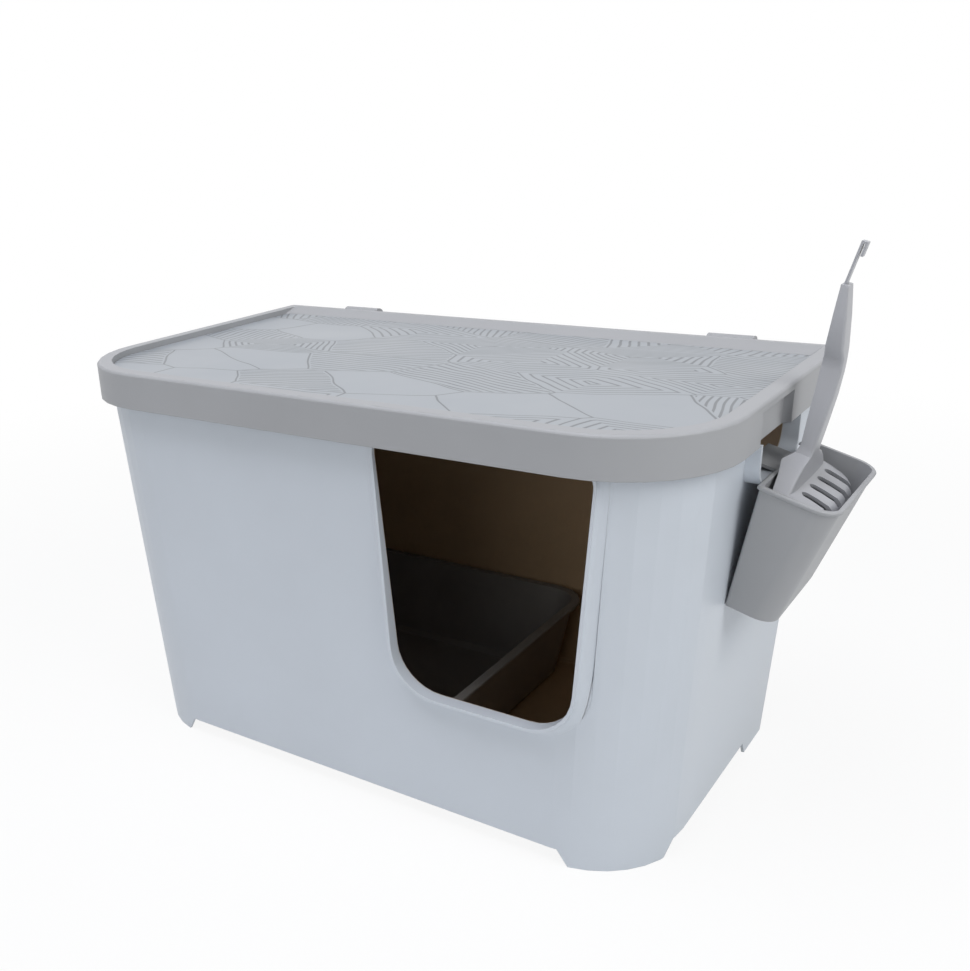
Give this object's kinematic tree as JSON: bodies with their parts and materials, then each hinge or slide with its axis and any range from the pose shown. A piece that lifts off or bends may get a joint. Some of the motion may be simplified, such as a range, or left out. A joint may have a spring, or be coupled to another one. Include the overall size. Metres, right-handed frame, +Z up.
{
  "type": "covered litter box",
  "caption": "White moulded litter box with an entry window in the front wall, a grey lid hinged at the back, a dark tray inside and a slotted scoop in a hook-on holder.",
  "frame": {"origin": "on the floor plane, midway between the feet of the housing", "axes": "+X along the box towards the end that carries the scoop holder, +Y towards the hinged back, +Z up; the entry window is in the -Y wall"},
  "size_m": [0.6241, 0.3415, 0.4482],
  "materials": {
    "white_plastic": "satin moulded polypropylene, cool white",
    "grey_plastic": "satin moulded polypropylene, warm grey",
    "printed_film": "printed film, light grey with darker line pattern",
    "dark_plastic": "satin moulded polypropylene, dark grey",
    "scoop_plastic": "satin moulded polypropylene, grey"
  },
  "bodies": {
    "box": {"housing": "white_plastic", "hinge_clip_left": "grey_plastic", "hinge_clip_right": "grey_plastic"},
    "lid": {"lid": "grey_plastic", "lid_panel": "printed_film"},
    "tray": {"litter_tray": "dark_plastic"},
    "holder": {"scoop_holder": "grey_plastic"},
    "scoop": {"scoop": "scoop_plastic"}
  },
  "joints": [
    {"name": "lid_hinge", "type": "hinge", "parent": "box", "child": "lid", "pos_m": [0, 0.168, 0.343], "axis": [-1, 0, 0], "range_deg": [0, 105]},
    {"name": "tray_lift", "type": "slide", "parent": "box", "child": "tray", "axis": [0, 0, 1], "range_m": [0, 0.18]},
    {"name": "holder_lift", "type": "slide", "parent": "box", "child": "holder", "axis": [0.2677, 0, 0.9635], "range_m": [0, 0.02]},
    {"name": "scoop_slide", "type": "slide", "parent": "holder", "child": "scoop", "axis": [0.2677, 0, 0.9635], "range_m": [0, 0.1]}
  ]
}
